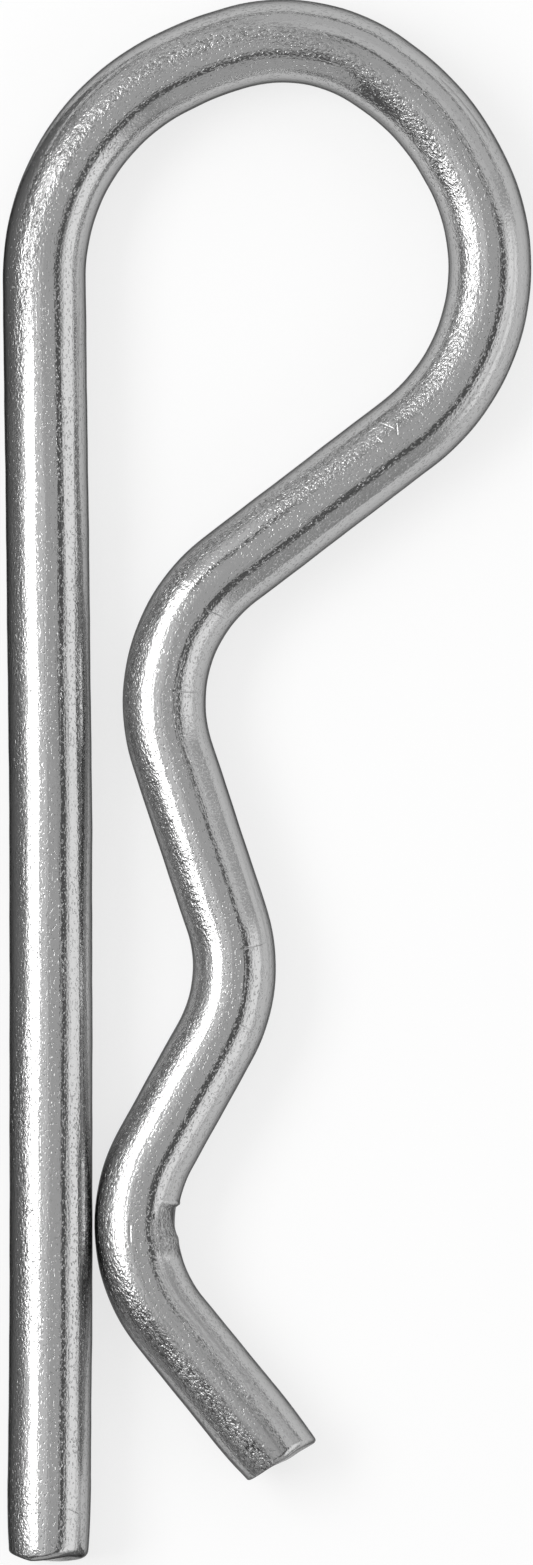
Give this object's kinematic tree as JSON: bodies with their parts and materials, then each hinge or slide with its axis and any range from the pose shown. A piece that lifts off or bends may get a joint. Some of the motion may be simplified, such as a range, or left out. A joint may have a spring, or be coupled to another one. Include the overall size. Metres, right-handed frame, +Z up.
{
  "type": "hitch r clip pin",
  "caption": "Spring wire R clip with a straight leg for a cross hole, a round loop and a wavy leg that grips the outside of the pin.",
  "frame": {"origin": "where the axis of the gripped pin crosses the axis of the straight leg, in the middle plane of the wire", "axes": "+Y along the straight leg towards the loop, +X from the straight leg towards the wavy leg, +Z up out of the flat clip, along the axis of the gripped pin"},
  "size_m": [0.0252, 0.0746, 0.004],
  "materials": {
    "zinc_plated_wire": "bright zinc plating over drawn spring steel wire, with fine draw lines along the wire and shallow pits"
  },
  "bodies": {
    "root": {"r_clip": "zinc_plated_wire"}
  },
  "joints": []
}
